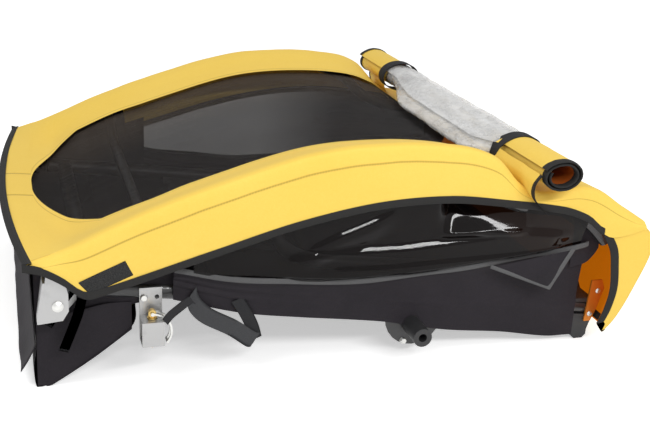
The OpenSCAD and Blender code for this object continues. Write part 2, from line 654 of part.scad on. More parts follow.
// Rear hoop, folded forward over the seat; its own frame starts at the pivot
hoop_bend = 55;
module in_hoop() {
  translate([rear_pivot.x, 0, rear_pivot.y]) rotate([0, hoop_tilt, 0]) children();
}
module hoop_leg(side) {
  foot = pivot_d / 2 + 9;
  run = hoop_len - hoop_bend;
  color([0.1, 0.1, 0.1]) in_hoop() on_side(side) difference() {
    union() {
      translate([-foot, hoop_y, 0]) rotate([0, -90, 0]) pipe(hoop_d, tube_wall, run - foot);
      translate([foot, hoop_y, 0]) rotate([0, -90, 0]) cylinder(d = hoop_d, h = 2 * foot);
      translate([-run, hoop_y - hoop_bend, 0]) rotate(90) rotate_extrude(angle = 90, $fn = 96)
        translate([hoop_bend, 0]) difference() {
          circle(d = hoop_d);
          circle(d = hoop_d - 2 * tube_wall);
        }
    }
    translate([0, hoop_y, 0]) rotate([90, 0, 0])
      cylinder(d = pivot_d + 2 * run_gap, h = 2 * hoop_d, center = true);
  }
}
module hoop_top_bar() {
  half = hoop_y - hoop_bend;
  color([0.1, 0.1, 0.1]) in_hoop() across([-hoop_len, 0], -half, half, hoop_d, tube_wall);
}
module seat_back() {
  half = hoop_y - hoop_d / 2 - 16;
  color([0.2, 0.2, 0.21]) in_hoop()
    cushion(-hoop_len + 30, -50, half, back_t, function(x) -back_t / 2);
}
module harness() {
  spread = 45;
  color([0.15, 0.15, 0.15]) in_hoop() for (y = [-buckle_y, buckle_y]) for (s = [-spread, spread])
    translate([-hoop_len + 60, y + s - 12.5, -back_t / 2 - 0.4 - web_t]) cube([260, 25, web_t]);
}

base_rail(-1);  // base_rail_left
base_rail(1);  // base_rail_right
front_cross_tube();
axle_cross_tube();
rear_cross_tube();
tube_plugs();
front_gusset(-1);  // front_gusset_left
front_gusset(1);  // front_gusset_right
front_pivot_bolts();
rear_corner(-1);  // rear_corner_left
rear_corner(1);  // rear_corner_right
rear_plates();
plate_rivets();
hoop_bracket(-1);  // hoop_bracket_left
hoop_bracket(1);  // hoop_bracket_right
hoop_pivot_bolts();
axle_bracket(-1);  // axle_bracket_left
axle_bracket(1);  // axle_bracket_right
axle_socket(-1);  // axle_socket_left
axle_socket(1);  // axle_socket_right
tow_receiver();
frame_bolts();
tow_pin();
pin_bail();
pin_lanyard();
wheel_straps();
floor_sheet();
footwell_tub();
seat_cushion();
side_wall(-1);  // side_wall_left
side_wall(1);  // side_wall_right
side_window(-1);  // side_window_left
side_window(1);  // side_window_right
rear_panel();
crotch_straps();
buckle(-1);  // buckle_left
buckle(1);  // buckle_right
buckle_button(-1);  // buckle_button_left
buckle_button(1);  // buckle_button_right
arch_tube(-1);  // arch_tube_left
arch_tube(1);  // arch_tube_right
arch_feet();
front_bar();
lock_bar();
bar_clamps();
latch_housings();
latch_button(-1);  // latch_button_left
latch_button(1);  // latch_button_right
cover();
mesh_window();
clear_roll();
roll_hem(-1);  // roll_hem_left
roll_hem(1);  // roll_hem_right
roll_straps();
hook_patches();
hoop_leg(-1);  // hoop_leg_left
hoop_leg(1);  // hoop_leg_right
hoop_top_bar();
seat_back();
harness();
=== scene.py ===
import bpy
import bmesh
import json
import math
from mathutils import Matrix, Vector, noise


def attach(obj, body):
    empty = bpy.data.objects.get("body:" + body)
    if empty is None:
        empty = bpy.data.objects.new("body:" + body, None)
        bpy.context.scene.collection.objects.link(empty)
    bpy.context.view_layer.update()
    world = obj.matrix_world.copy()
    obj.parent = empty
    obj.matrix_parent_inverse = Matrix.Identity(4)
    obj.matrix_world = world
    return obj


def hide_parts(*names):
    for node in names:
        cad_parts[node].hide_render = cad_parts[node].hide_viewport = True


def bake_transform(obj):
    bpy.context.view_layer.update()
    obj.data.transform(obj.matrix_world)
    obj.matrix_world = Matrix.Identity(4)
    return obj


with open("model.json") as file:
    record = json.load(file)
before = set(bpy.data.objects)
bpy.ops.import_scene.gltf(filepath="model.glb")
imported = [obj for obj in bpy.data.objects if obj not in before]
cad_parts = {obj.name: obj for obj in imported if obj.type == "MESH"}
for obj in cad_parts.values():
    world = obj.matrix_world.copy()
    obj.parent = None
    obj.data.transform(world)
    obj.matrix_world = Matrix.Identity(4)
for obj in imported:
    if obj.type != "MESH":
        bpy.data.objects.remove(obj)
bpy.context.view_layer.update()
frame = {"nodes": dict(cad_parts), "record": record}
nodes = frame["nodes"]
scene = bpy.context.scene
print("frame loaded:", len(nodes), "nodes")

# photo camera: lens in pixels of a 650 wide picture, angles in radians, place relative to the part
camera = dict(focal=1100.0, width=650, turn=0.29481, tilt=0.33672, roll=0.04555,
              offset=(-0.0554, -0.11643, 1.89585), shiftX=-0.015)


def placeCamera(c):
    a, e, r = c["turn"], c["tilt"], c["roll"]
    right0 = Vector((math.cos(a), -math.sin(a), 0))
    look = Vector((math.sin(a) * math.cos(e), math.cos(a) * math.cos(e), -math.sin(e)))
    up0 = Vector((math.sin(a) * math.sin(e), math.cos(a) * math.sin(e), math.cos(e)))
    right = right0 * math.cos(r) + up0 * math.sin(r)
    up = up0 * math.cos(r) - right0 * math.sin(r)
    ox, oy, oz = c["offset"]
    spot = -(right0 * ox + up0 * oy + look * oz) + Vector((c["shiftX"], 0, 0))
    data = bpy.data.cameras.new("photoCamera")
    data.sensor_width = 36
    data.lens = 36 * c["focal"] / c["width"]
    cam = bpy.data.objects.new("photoCamera", data)
    cam.matrix_world = Matrix((right, up, -look)).transposed().to_4x4()
    cam.location = spot
    scene.collection.objects.link(cam)
    scene.camera = cam


placeCamera(camera)


# one shader socket, so that surface maths reads as plain expressions
class Shade:
    def __init__(self, tree, socket):
        self.tree = tree
        self.socket = socket

    def math(self, operation, *others):
        n = self.tree.nodes.new("ShaderNodeMath")
        n.operation = operation
        for slot, value in zip(n.inputs, (self,) + others):
            if isinstance(value, Shade):
                self.tree.links.new(value.socket, slot)
            else:
                slot.default_value = value
        return Shade(self.tree, n.outputs[0])

    def __add__(self, o): return self.math("ADD", o)
    def __radd__(self, o): return self.math("ADD", o)
    def __sub__(self, o): return self.math("SUBTRACT", o)
    def __mul__(self, o): return self.math("MULTIPLY", o)
    def __truediv__(self, o): return self.math("DIVIDE", o)
    def above(self, edge): return self.math("GREATER_THAN", edge)
    def clamp(self): return self.math("MINIMUM", 1.0).math("MAXIMUM", 0.0)


# one material and its nodes
class Finish:
    def __init__(self, name):
        self.material = bpy.data.materials.new(name)
        self.material.use_nodes = True
        self.tree = self.material.node_tree
        self.shader = self.tree.nodes["Principled BSDF"]
        self.spot = self.make("ShaderNodeTexCoord", out="Object")

    def make(self, kind, settings=None, out=0, **sockets):
        n = self.tree.nodes.new(kind)
        for key, value in (settings or {}).items():
            if key == "stops":
                while len(n.color_ramp.elements) < len(value):
                    n.color_ramp.elements.new(0.5)
                for stop, (place, colour) in zip(n.color_ramp.elements, value):
                    stop.position = place
                    stop.color = (*colour, 1) if isinstance(colour, tuple) else (colour, colour, colour, 1)
            else:
                setattr(n, key, value)
        for key, value in sockets.items():
            self.feed(n.inputs[int(key[1:])] if key[0] == "i" and key[1:].isdigit() else n.inputs[key], value)
        return Shade(self.tree, n.outputs[out])

    def feed(self, slot, value):
        if isinstance(value, Shade):
            self.tree.links.new(value.socket, slot)
        elif isinstance(value, tuple) and len(value) == 3 and slot.type == "RGBA":
            slot.default_value = (*value, 1)
        else:
            slot.default_value = value

    def set(self, **sockets):
        for key, value in sockets.items():
            self.feed(self.shader.inputs[key.replace("_", " ")], value)
        return self

    def scaled(self, x, y, z, turn=(0, 0, 0)):
        return self.make("ShaderNodeMapping", Vector=self.spot, Scale=(x, y, z), Rotation=turn)

    def cloud(self, scale, detail=3.0, rough=0.55, where=None):
        return self.make("ShaderNodeTexNoise", Vector=where or self.spot, Scale=scale, Detail=detail,
                         Roughness=rough)

    def wave(self, scale, axis, where=None, distortion=0.0):
        return self.make("ShaderNodeTexWave", dict(bands_direction=axis), out="Fac",
                         Vector=where or self.spot, Scale=scale, Distortion=distortion)

    def ramp(self, value, *stops):
        return self.make("ShaderNodeValToRGB", dict(stops=stops), Fac=value)

    def tint(self, factor, first, second):
        return self.make("ShaderNodeMix", dict(data_type="RGBA"), out=2, i0=factor, i6=first, i7=second)

    def bump(self, height, strength, distance):
        normal = self.make("ShaderNodeBump", Height=height, Strength=strength, Distance=distance)
        self.feed(self.shader.inputs["Normal"], normal)
        return self


print("materials")


# woven cloth; seams are rows of the piece's own layout where a stitched line runs
def clothFinish(name, deep, pale, rough, thread=900.0, dirt=0.25, seams=(), stitches=300.0,
                sheen=0.3, paintedGlow=None):
    f = Finish(name)
    weave = f.make("ShaderNodeTexVoronoi", dict(feature="SMOOTH_F1"), out="Distance", Vector=f.spot,
                   Scale=thread)
    patch = f.cloud(7.0, 4.0)
    slub = f.cloud(180.0, 2.0)
    colour = f.tint((patch * 1.6 - 0.3).clamp() * dirt + weave * 0.3 + slub * 0.2, deep, pale)
    wrinkle = f.cloud(24.0, 3.0, 0.5, f.scaled(1, 1, 2.4, (0.3, 0.5, 0.7)))
    height = weave * 0.5 + slub * 0.5 + patch * 2.0 + wrinkle * 3.5
    if seams:
        lay = f.make("ShaderNodeUVMap", dict(uv_map="lay"))
        across = f.make("ShaderNodeSeparateXYZ", out="Y", Vector=lay)
        along = f.make("ShaderNodeSeparateXYZ", out="X", Vector=lay)
        line = 0.0
        for row, half in seams:
            line = ((across - row).math("ABSOLUTE") / -half + 1.0).clamp() + line
        thread = ((along * stitches).math("FRACT") - 0.28).above(0.0)
        colour = f.tint(line * 0.55 + line * thread * 0.25, colour, tuple(c * 0.42 for c in deep))
        height = height - line * 4.0
    f.set(Base_Color=colour, Roughness=rough + patch * 0.12, Specular_IOR_Level=sheen)
    # paintedGlow is painted light: an emission that stands in for light shining through the cloth
    if paintedGlow:
        f.set(Emission_Color=f.tint(patch, paintedGlow, tuple(c * 0.6 for c in paintedGlow)), Emission_Strength=1.0)
    return f.bump(height, 0.25, 0.0008).material


def webFinish(name, deep, pale):
    f = Finish(name)
    ribs = f.wave(420.0, "DIAGONAL") + f.wave(420.0, "Z") * 0.5
    fuzz = f.cloud(700.0, 2.0)
    f.set(Base_Color=f.tint((ribs * 0.4 + fuzz * 0.5).clamp(), deep, pale), Roughness=0.72 + fuzz * 0.2,
          Specular_IOR_Level=0.15)
    return f.bump(ribs * 0.6 + fuzz * 0.4, 0.6, 0.0006).material


def metalFinish(name, base, worn, metal, rough, coat=0.0, grain=60.0):
    f = Finish(name)
    streak = f.cloud(grain, 5.0, 0.6, f.scaled(0.4, 1, 4))
    spots = f.ramp(f.cloud(38.0, 6.0, 0.7), (0.52, 0.0), (0.74, 1.0))
    f.set(Base_Color=f.tint(spots * 0.45, base, worn), Roughness=rough + streak * 0.16, Metallic=metal,
          Coat_Weight=coat)
    return f.bump(streak + f.cloud(520.0, 2.0) * 0.5, 0.12, 0.0005).material


def plasticFinish(name, base, pale, rough):
    f = Finish(name)
    grit = f.cloud(900.0, 2.0)
    smear = f.cloud(26.0, 5.0, 0.6)
    f.set(Base_Color=f.tint((smear * 0.8).clamp(), base, pale), Roughness=rough + smear * 0.2)
    return f.bump(grit, 0.18, 0.0004).material


def meshFinish():
    f = Finish("windowMesh")
    holes = f.make("ShaderNodeTexVoronoi", dict(feature="F1"), out="Distance", Vector=f.spot, Scale=700.0)
    drift = f.cloud(12.0, 4.0)
    lines = f.cloud(2.0, 2.0, 0.5, f.scaled(0.5, 90, 0.1))
    # painted light: the far half of the net is tinted paler brown for the lit far side seen through it
    paintedFarLight = f.make("ShaderNodeSeparateXYZ", out="Y", Vector=f.spot)
    colour = f.tint(drift, (0.006, 0.005, 0.005), (0.020, 0.017, 0.016))
    colour = f.tint((paintedFarLight * 4.0 - 0.1).clamp() * (0.4 + drift * 0.6), colour, (0.075, 0.058, 0.044))
    f.set(Base_Color=colour, Roughness=0.75, Specular_IOR_Level=0.1,
          Alpha=(holes * 0.35 + lines * 0.30 + 0.40).clamp())
    return f.bump(holes, 0.4, 0.0004).material


# smoked film, seen through most at its front end
def vinylFinish(name, tint, rough, alpha, haze, gloss):
    f = Finish(name)
    behind = f.make("ShaderNodeSeparateXYZ", out="X", Vector=f.spot)
    ripple = f.cloud(11.0, 3.0, 0.5)
    crease = f.ramp(f.cloud(17.0, 6.0, 0.62), (0.47, 0.0), (0.50, 1.0), (0.53, 0.0))
    opaque = (behind * 1.2 + alpha).math("MAXIMUM", alpha).math("MINIMUM", 0.985)
    f.set(Base_Color=f.tint(ripple, tint, tuple(min(1.0, c * 1.6 + haze) for c in tint)),
          Roughness=rough + crease * 0.03, Alpha=opaque, IOR=1.42, Specular_IOR_Level=gloss)
    return f.bump(ripple + crease * 0.03, 0.08, 0.002).material


def clearFinish():
    f = Finish("clearVinyl")
    crinkle = f.cloud(34.0, 5.0, 0.6, f.scaled(1, 0.35, 1))
    fold = f.ramp(f.cloud(20.0, 6.0, 0.65), (0.46, 0.0), (0.5, 1.0), (0.54, 0.0))
    f.set(Base_Color=f.tint(crinkle, (0.66, 0.66, 0.66), (0.98, 0.98, 0.97)), Roughness=0.12 + crinkle * 0.1,
          Alpha=(0.25 + crinkle * 0.65 + fold * 0.2).clamp(), Coat_Weight=0.7, Coat_Roughness=0.05)
    return f.bump(crinkle + fold * 0.3, 0.9, 0.006).material


def pileFinish():
    f = Finish("hookPile")
    hooks = f.make("ShaderNodeTexVoronoi", out="Distance", Vector=f.spot, Scale=620.0)
    f.set(Base_Color=f.tint(hooks, (0.006, 0.006, 0.006), (0.03, 0.03, 0.03)), Roughness=0.95)
    return f.bump(hooks, 1.0, 0.0015).material


finishes = dict(
    yellow=clothFinish("yellowCloth", (0.80, 0.53, 0.070), (0.91, 0.67, 0.16), 0.62),
    cover=clothFinish("coverCloth", (0.80, 0.53, 0.070), (0.91, 0.67, 0.16), 0.62,
                      seams=((0.081, 0.0022), (0.919, 0.0022), (0.286, 0.0016), (0.714, 0.0016))),
    orange=clothFinish("paintedThroughLightCloth", (0.42, 0.10, 0.003), (0.66, 0.20, 0.008), 0.75,
                       paintedGlow=(0.42, 0.11, 0.001)),  # painted light: the orange colour and glow stand in for light from the pale cloth outside shining through
    # painted light: the darker orange stands in for light shining through the yellow hem cloth
    lining=clothFinish("hemPaintedThroughLight", (0.30, 0.055, 0.002), (0.48, 0.12, 0.005), 0.75),
    black=clothFinish("blackCloth", (0.007, 0.006, 0.008), (0.028, 0.024, 0.029), 0.60, 700.0, 0.7,
                      sheen=0.15),
    seat=clothFinish("seatCloth", (0.012, 0.012, 0.014), (0.05, 0.05, 0.055), 0.85, 500.0, 0.5, sheen=0.15),
    tape=webFinish("bindingTape", (0.010, 0.010, 0.010), (0.042, 0.041, 0.040)),
    greyTape=webFinish("greyBinding", (0.060, 0.060, 0.062), (0.150, 0.150, 0.152)),
    web=webFinish("blackWebbing", (0.010, 0.010, 0.011), (0.045, 0.045, 0.048)),
    greyWeb=webFinish("greyWebbing", (0.030, 0.031, 0.034), (0.085, 0.086, 0.090)),
    mesh=meshFinish(),
    smoked=vinylFinish("smokedVinyl", (0.003, 0.002, 0.002), 0.04, 0.80, 0.001, 0.20),
    clear=clearFinish(),
    pile=pileFinish(),
    paint=metalFinish("blackPaint", (0.010, 0.010, 0.011), (0.035, 0.035, 0.036), 0.0, 0.32, 0.4),
    aluminium=metalFinish("bareAluminium", (0.42, 0.42, 0.42), (0.28, 0.28, 0.28), 0.9, 0.36),
    zinc=metalFinish("zincSteel", (0.66, 0.66, 0.64), (0.42, 0.42, 0.40), 0.95, 0.30),
    # painted reflection: the orange-brown plate colour stands in for yellow light bounced off the cover
    amber=metalFinish("paintedBouncePlate", (0.60, 0.20, 0.02), (0.40, 0.12, 0.01), 0.5, 0.40),
    brass=metalFinish("brassPin", (0.62, 0.44, 0.16), (0.40, 0.27, 0.09), 0.95, 0.30),
    plastic=plasticFinish("blackPlastic", (0.012, 0.012, 0.013), (0.03, 0.03, 0.031), 0.42),
    red=plasticFinish("redPlastic", (0.42, 0.012, 0.010), (0.55, 0.03, 0.02), 0.38),
)

print("soft goods")
mm = 0.001
sides = ((-1, "Left"), (1, "Right"))  # the near side in the photo is the left one


def ease(t):
    t = min(max(t, 0.0), 1.0)
    return t * t * (3 - 2 * t)


def mix(a, b, t):
    return a + (b - a) * t


# point at s on the smooth path through points, one unit of s a point
def path(keys, s):
    keys = [Vector(k) for k in keys]
    i = min(int(max(s, 0)), len(keys) - 2)
    t = s - i

    def bend(k):
        return (keys[min(k + 1, len(keys) - 1)] - keys[max(k - 1, 0)]) / 2
    h = ease(t)
    return keys[i] * (1 - h) + keys[i + 1] * h + bend(i) * t * (1 - t) ** 2 - bend(i + 1) * t * t * (1 - t)


# height at x on the smooth line through [x, z] stations
def curve(keys, x):
    i = 0
    while i < len(keys) - 2 and x >= keys[i + 1][0]:
        i += 1

    def slope(k):
        a, b = keys[max(k - 1, 0)], keys[min(k + 1, len(keys) - 1)]
        return (b[1] - a[1]) / (b[0] - a[0])
    (ax, az), (bx, bz) = keys[i], keys[i + 1]
    w = bx - ax
    t = (x - ax) / w
    return mix(az, bz, ease(t)) + w * (slope(i) * t * (1 - t) ** 2 - slope(i + 1) * t * t * (1 - t))


# soft unevenness from minus one to one at a place in millimetres, for folds of the given width
def uneven(x, y, z, width, seed=0.0):
    return noise.noise(Vector((x / width + seed, y / width, z / width - seed)))


def meshObject(name, bm, finish, smooth=True):
    mesh = bpy.data.meshes.new(name)
    bm.normal_update()
    bm.to_mesh(mesh)
    bm.free()
    if smooth:
        mesh.shade_smooth()
    obj = bpy.data.objects.new(name, mesh)
    scene.collection.objects.link(obj)
    obj.data.materials.append(finishes[finish])
    return obj


flats = {}


# longest line of a laid piece along one of its two ways, in metres
def longest(line):
    runs = []
    for k in range(5):
        points = [Vector(line(i / 40, k / 4)) for i in range(41)]
        runs.append(sum((b - a).length for a, b in zip(points, points[1:])))
    return max(runs) * mm


# grid of nu by nv cells, each corner laid by place(u, v) in millimetres, u and v from 0 to 1
def laid(name, nu, nv, place, finish, skip=None, thick=0.0, close=False):
    bm = bmesh.new()
    bmesh.ops.create_grid(bm, x_segments=nu, y_segments=nv, size=0.5)
    uv = bm.loops.layers.uv.new("lay")
    for f in bm.faces:
        for loop in f.loops:
            loop[uv].uv = (loop.vert.co.x + 0.5, loop.vert.co.y + 0.5)
    if skip:
        middles = [(f, f.calc_center_median()) for f in bm.faces]
        bmesh.ops.delete(bm, geom=[f for f, c in middles if skip(c.x + 0.5, c.y + 0.5)], context="FACES")
    for v in bm.verts:
        v.co = Vector(place(v.co.x + 0.5, v.co.y + 0.5)) * mm
    flats[name] = (longest(place), longest(lambda a, b: place(b, a)), sum(f.calc_area() for f in bm.faces))
    if close:
        bmesh.ops.remove_doubles(bm, verts=bm.verts, dist=0.00001)
    if thick:
        bmesh.ops.solidify(bm, geom=bm.faces[:], thickness=thick * mm)
    return meshObject(name, bm, finish)


# reads the flat size a cloth piece is laid from; the result is not kept
def cloth(obj):
    w, l, area = flats[obj.name]
    l = min(l, area / (0.5 * w))
    min(area, w * l)


# binding tape folded over an edge: edge(u) gives a point, the way out of the cloth and the way up it
def bound(name, n, edge, wide, finish="tape", lift=0.8):
    ring = [(lift, wide), (lift + 0.5, wide * 0.5), (lift, 0.0), (0.0, -lift * 1.2), (-lift, 0.0),
            (-lift - 0.5, wide * 0.5), (-lift, wide)]

    def place(u, v):
        p, out, up = (Vector(k) for k in edge(u))
        a, b = path([(r[0], r[1], 0) for r in ring], v * (len(ring) - 1)).to_2d()
        return p + out.normalized() * a + up.normalized() * b
    return laid(name, n, 12, place, finish)


# flat webbing along a line of points, lying across the given way
def strap(name, keys, across, wide, finish="web", thick=1.6, n=40):
    across = Vector(across).normalized()

    def place(u, v):
        return path(keys, u * (len(keys) - 1)) + across * (v - 0.5) * wide
    return laid(name, n, 4, place, finish, thick=thick)


cover = dict(
    ridge=[(-458, 198), (-410, 213), (-300, 260), (-189, 298), (-75, 330), (20, 339), (130, 333), (190, 314),
           (232, 272), (270, 259), (330, 264), (362, 256), (401, 230), (440, 206)],
    hem=[(-458, 190), (-440, 186), (-412, 170), (-384, 148), (-360, 151), (-206, 197), (-96, 229), (16, 250),
         (120, 254), (213, 243), (293, 230), (318, 223), (344, 211), (368, 192), (400, 190), (440, 199)],
    front=-458, rear=440, half=346, ridgeHalf=336, flatHalf=318, edgeHalf=343,
    windowFront=-425, windowRear=212, windowHalf=240, windowCorner=73,
    bow=28, hemEnd=370, dip=28, middle=0.4, tape=10.5, net=6.4, farLift=0.3)


def windowHalf(x):
    t = min(max(x - cover["windowFront"], 0) / cover["windowCorner"] + 0.004, 1)
    wavy = 5 * math.sin((x + 425) / 34) * ease((-230 - x) / 60) * ease((x + 390) / 40)
    return cover["windowHalf"] * t ** 0.42 - wavy


# the front edge is bowed forward in the middle
def bowed(x, y):
    return x - cover["bow"] * ease(1 - (x - cover["front"]) / 60) * (1 - (y / cover["half"]) ** 2)


def ridgeZ(x):
    return curve(cover["ridge"], x)


def hemZ(x):
    return curve(cover["hem"], x)


def topZ(x, y):
    dip = cover["dip"] * ease((x - cover["front"]) / 70) * (1 - 0.8 * ease((x - 180) / 60))
    dip *= 1 - cover["farLift"] * ease(y / cover["windowHalf"] * 0.5 + 0.5)
    return ridgeZ(x) - dip * ease((cover["ridgeHalf"] - abs(y)) / (cover["ridgeHalf"] - cover["windowHalf"]))


# half profile of the cover at x: h is 0 in the middle and 1 at the hem
def coverPoint(x, h):
    w = windowHalf(x)
    side = 1 if h >= 0 else -1
    h = abs(h)
    if h <= cover["middle"]:
        y = w * h / cover["middle"]
        p = Vector((y, topZ(x, y)))
    else:
        low = hemZ(x) - 4 * ease((x - cover["hemEnd"]) / 14)
        drop = ridgeZ(x) - low
        rim, flat = cover["half"], cover["flatHalf"]
        keys = [(y, topZ(x, y)) for y in (w, (w + flat) / 2, flat)]
        keys += [(cover["ridgeHalf"], ridgeZ(x)), (cover["edgeHalf"], ridgeZ(x) - min(9, drop * 0.35)),
                 (rim, ridgeZ(x) - drop * 0.6), (rim, low)]
        p = path(keys, (h - cover["middle"]) / (1 - cover["middle"]) * (len(keys) - 1))
    return Vector((bowed(x, p.x), side * p.x, p.y))


# stations along the cover, closer together round the front of the window
def coverX(u):
    if u < 0.06:
        return mix(cover["front"], cover["windowFront"], u / 0.06)
    if u < 0.36:
        return cover["windowFront"] + 130 * ((u - 0.06) / 0.3) ** 2
    return mix(cover["windowFront"] + 130, cover["rear"], (u - 0.36) / 0.64)


def coverCloth(u, v):
    x = coverX(u)
    h = 2 * v - 1
    p = coverPoint(x, h)
    calm = ease((abs(h) - cover["middle"]) / 0.1) if abs(h) > cover["middle"] else 0.3
    p.z += (1.1 * uneven(*p, 70) + 0.5 * uneven(*p, 26, 5)) * calm
    p.y += 0.9 * uneven(*p, 60, 9) * ease((abs(h) - 0.7) / 0.2)
    return p


def inWindow(u, v):
    return abs(2 * v - 1) < cover["middle"] and cover["windowFront"] < coverX(u) < cover["windowRear"]


coverPiece = laid("coverTop", 150, 120, coverCloth, "cover", skip=inWindow)
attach(coverPiece, "upper_frame")
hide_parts("cover")

for side, word in sides:
    def flapEdge(u):
        x = mix(cover["front"] - 3, cover["hemEnd"], u)
        return (x, side * cover["half"], hemZ(x)), (0, side, 0), (0, 0, 1)
    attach(bound("flapBinding" + word, 110, flapEdge, cover["tape"]), "upper_frame")


def frontEdge(u):
    y = mix(-cover["edgeHalf"], cover["edgeHalf"], u)
    return (bowed(cover["front"], y), y, topZ(cover["front"], y)), (0, 0, 1), (1, 0, 0.25)


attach(bound("frontBinding", 80, frontEdge, cover["tape"]), "upper_frame")


def meshNet(u, v):
    x = mix(cover["windowFront"] - 6, cover["windowRear"] + 30, u ** 1.3)
    w = windowHalf(min(max(x, cover["windowFront"]), cover["windowRear"])) + 6
    y = mix(-w, w, v)
    loose = ease((cover["windowRear"] - 2 - x) / 26)  # 0 where the net is sewn to the cover behind the window
    under = cover["net"] + 2 * (1 - (y / w) ** 2) - 0.8 * uneven(x, y, 0, 110)
    return (bowed(x, y), y, topZ(x, y) - mix(1.0, under, loose))


netPiece = laid("meshWindow", 90, 60, meshNet, "mesh")
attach(netPiece, "upper_frame")
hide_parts("mesh_window")

roll = dict(at=(259, 0, 301), lean=1.1, turn=2.5, core=20, outer=33, flat=0.7, turns=2, start=150, clear=240,
            end=375, strapWide=24, sag=52, lobe=194)
rollTurn = (Matrix.Rotation(math.radians(roll["turn"]), 3, "Z")
            @ Matrix.Rotation(math.radians(roll["lean"]), 3, "X"))


# how far the loose clear sheet sags forward at y
def rollSag(y):
    return roll["sag"] * ease((215 - y) / 190) * ease((y + 256) / 60)


# point of the rolled sheet at y, with t from 0 at its inner end to 1 at its free edge
def rollPoint(y, t, offset=0.0, crumple=1.0):
    a = math.radians(roll["start"] + 360 * roll["turns"] * t)
    r = mix(roll["core"], roll["outer"], t) + offset
    held = 1 - math.exp(-((abs(y) - roll["clear"]) / 26) ** 2)
    c, s = math.cos(a), math.sin(a)
    dent = 2.6 * uneven(y * 0.6, 40 * c, 40 * s, 30) + 1.2 * uneven(y, 60 * c, 60 * s, 14, 3)
    r += crumple * (dent * held - 1.5 * (1 - held))
    sag = rollSag(y) * (0.35 + 0.65 * ease((t - 0.42) / 0.1))
    lobe = max(0.0, math.cos(a - math.radians(roll["lobe"]))) ** 1.4
    p = Vector((r * c - sag * lobe, y, r * roll["flat"] * s + 0.05 * sag * lobe))
    return rollTurn @ p + Vector(roll["at"])


clearPiece = laid("clearRoll", 190, 150, lambda u, v: rollPoint(mix(-roll["clear"], roll["clear"], u), v),
                  "clear")
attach(clearPiece, "upper_frame")
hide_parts("clear_roll")
for side, word in sides:
    hem = laid("rollHem" + word, 30, 110, lambda u, v: rollPoint(
        side * mix(roll["clear"] - 4, roll["end"], u), v, 0.7, 0.45), "yellow")
    # the orange inner sheet of the hem is painted light that stands in for light shining through the yellow
    # hem cloth
    lining = laid("hemPaintedThroughLight" + word, 16, 110, lambda u, v: rollPoint(
        side * mix(roll["clear"] - 4, roll["end"] - 1, u), v, -0.9, 0.45), "lining")

    def hemEdge(u):
        y = side * roll["end"]
        return rollPoint(y, u, 0, 0.45), rollPoint(y, u, 5, 0) - rollPoint(y, u, 0, 0), (0, -side, 0)
    edge = bound("hemBinding" + word, 140, hemEdge, 11, lift=1.5)
    for piece in (hem, lining, edge):
        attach(piece, "upper_frame")
    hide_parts("roll_hem_" + word.lower())


def rollStrap(side):
    def place(u, v):
        a = 2 * math.pi * u
        r = roll["outer"] + 1.6
        y = side * (roll["clear"] + (v - 0.5) * roll["strapWide"])
        sag = rollSag(side * roll["clear"]) * max(0.0, math.cos(a - math.radians(roll["lobe"]))) ** 1.4
        p = Vector((r * math.cos(a) - sag, y, r * roll["flat"] * math.sin(a) - 0.2 * sag))
        return rollTurn @ p + Vector(roll["at"])
    return place


strapLoops = [laid("rollStrap" + word, 72, 4, rollStrap(side), "web", thick=1.6, close=True)
              for side, word in sides]
for loop in strapLoops:
    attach(loop, "upper_frame")
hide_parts("roll_straps")

# tail of the hem, from the roll's front down to the edge of the flap
tail = dict(inner=[(232, 252, 303), (226, 252, 292), (226, 252, 283), (228, 251, 276), (231, 250, 271)],
            outer=[(243, 374, 297), (235, 372, 283), (240, 364, 262), (258, 353, 242), (274, 350, 228)])
for side, word in sides:
    flip = Vector((1, side, 1))

    def tailPoint(u, v):
        a, b = path(tail["inner"], v * 4), path(tail["outer"], v * 4)
        p = a.lerp(b, u) * flip
        p.z += 10 * math.sin(math.pi * u) * v * (1 - u) + 1.2 * uneven(*p, 30)
        return p
    tailPieces = [laid("rollTail" + word, 30, 30, tailPoint, "yellow"),
                  bound("tailBinding" + word, 40,
                        lambda u: (tailPoint(1, u), (-0.5, side, 0.2), (0, -side, 0)), 11, lift=1.0)]
    for piece in tailPieces:
        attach(piece, "upper_frame")

window = dict(
    foot=[(-262, 118), (-165, 90), (-79, 76), (-4, 66), (54, 57), (145, 37), (240, 25), (317, 11), (356, 10)],
    seam=[(-262, 168), (-200, 152), (-120, 142), (-45, 134), (62, 135), (139, 140), (195, 146), (265, 153),
          (328, 161), (356, 166)],
    wallFrom=-262, wallTo=362)

# slack smoked film: each fold is a line of [x, z] stations with the film standing out below it,
# over wide millimetres at the slope lean, and going back in over back millimetres
filmFolds = [
    dict(line=[(-125, 160), (-101, 177), (-26, 184), (64, 184), (176, 192), (250, 197), (340, 186)],
         wide=15.5, back=900, lean=0.604),
    dict(line=[(-60, 159), (44, 156), (130, 159), (212, 161), (284, 164), (340, 172)],
         wide=8.6, back=900, lean=0.63),
    dict(line=[(-96, 180), (-49, 204), (8, 227), (64, 250)], wide=11, back=28, lean=0.545)]
film = dict(first=-236, last=350, inside=316.5, outside=333, frontOutside=319, limit=344,
            lean=0.59, tuckFrom=108, tuckTo=266, tuckZ=211,
            tuck=[(108, 206), (122, 215), (136, 228), (154, 237), (180, 230), (207, 212), (240, 200),
                  (266, 198)])


# rise of a fold from 0 to 1, straight in its middle half
def shoulder(t):
    t = min(max(t, 0.0), 1.0)
    if t < 0.25:
        return t * t * 8 / 3
    if t < 0.75:
        return (4 * t - 0.5) / 3
    return 1 - (1 - t) ** 2 * 8 / 3


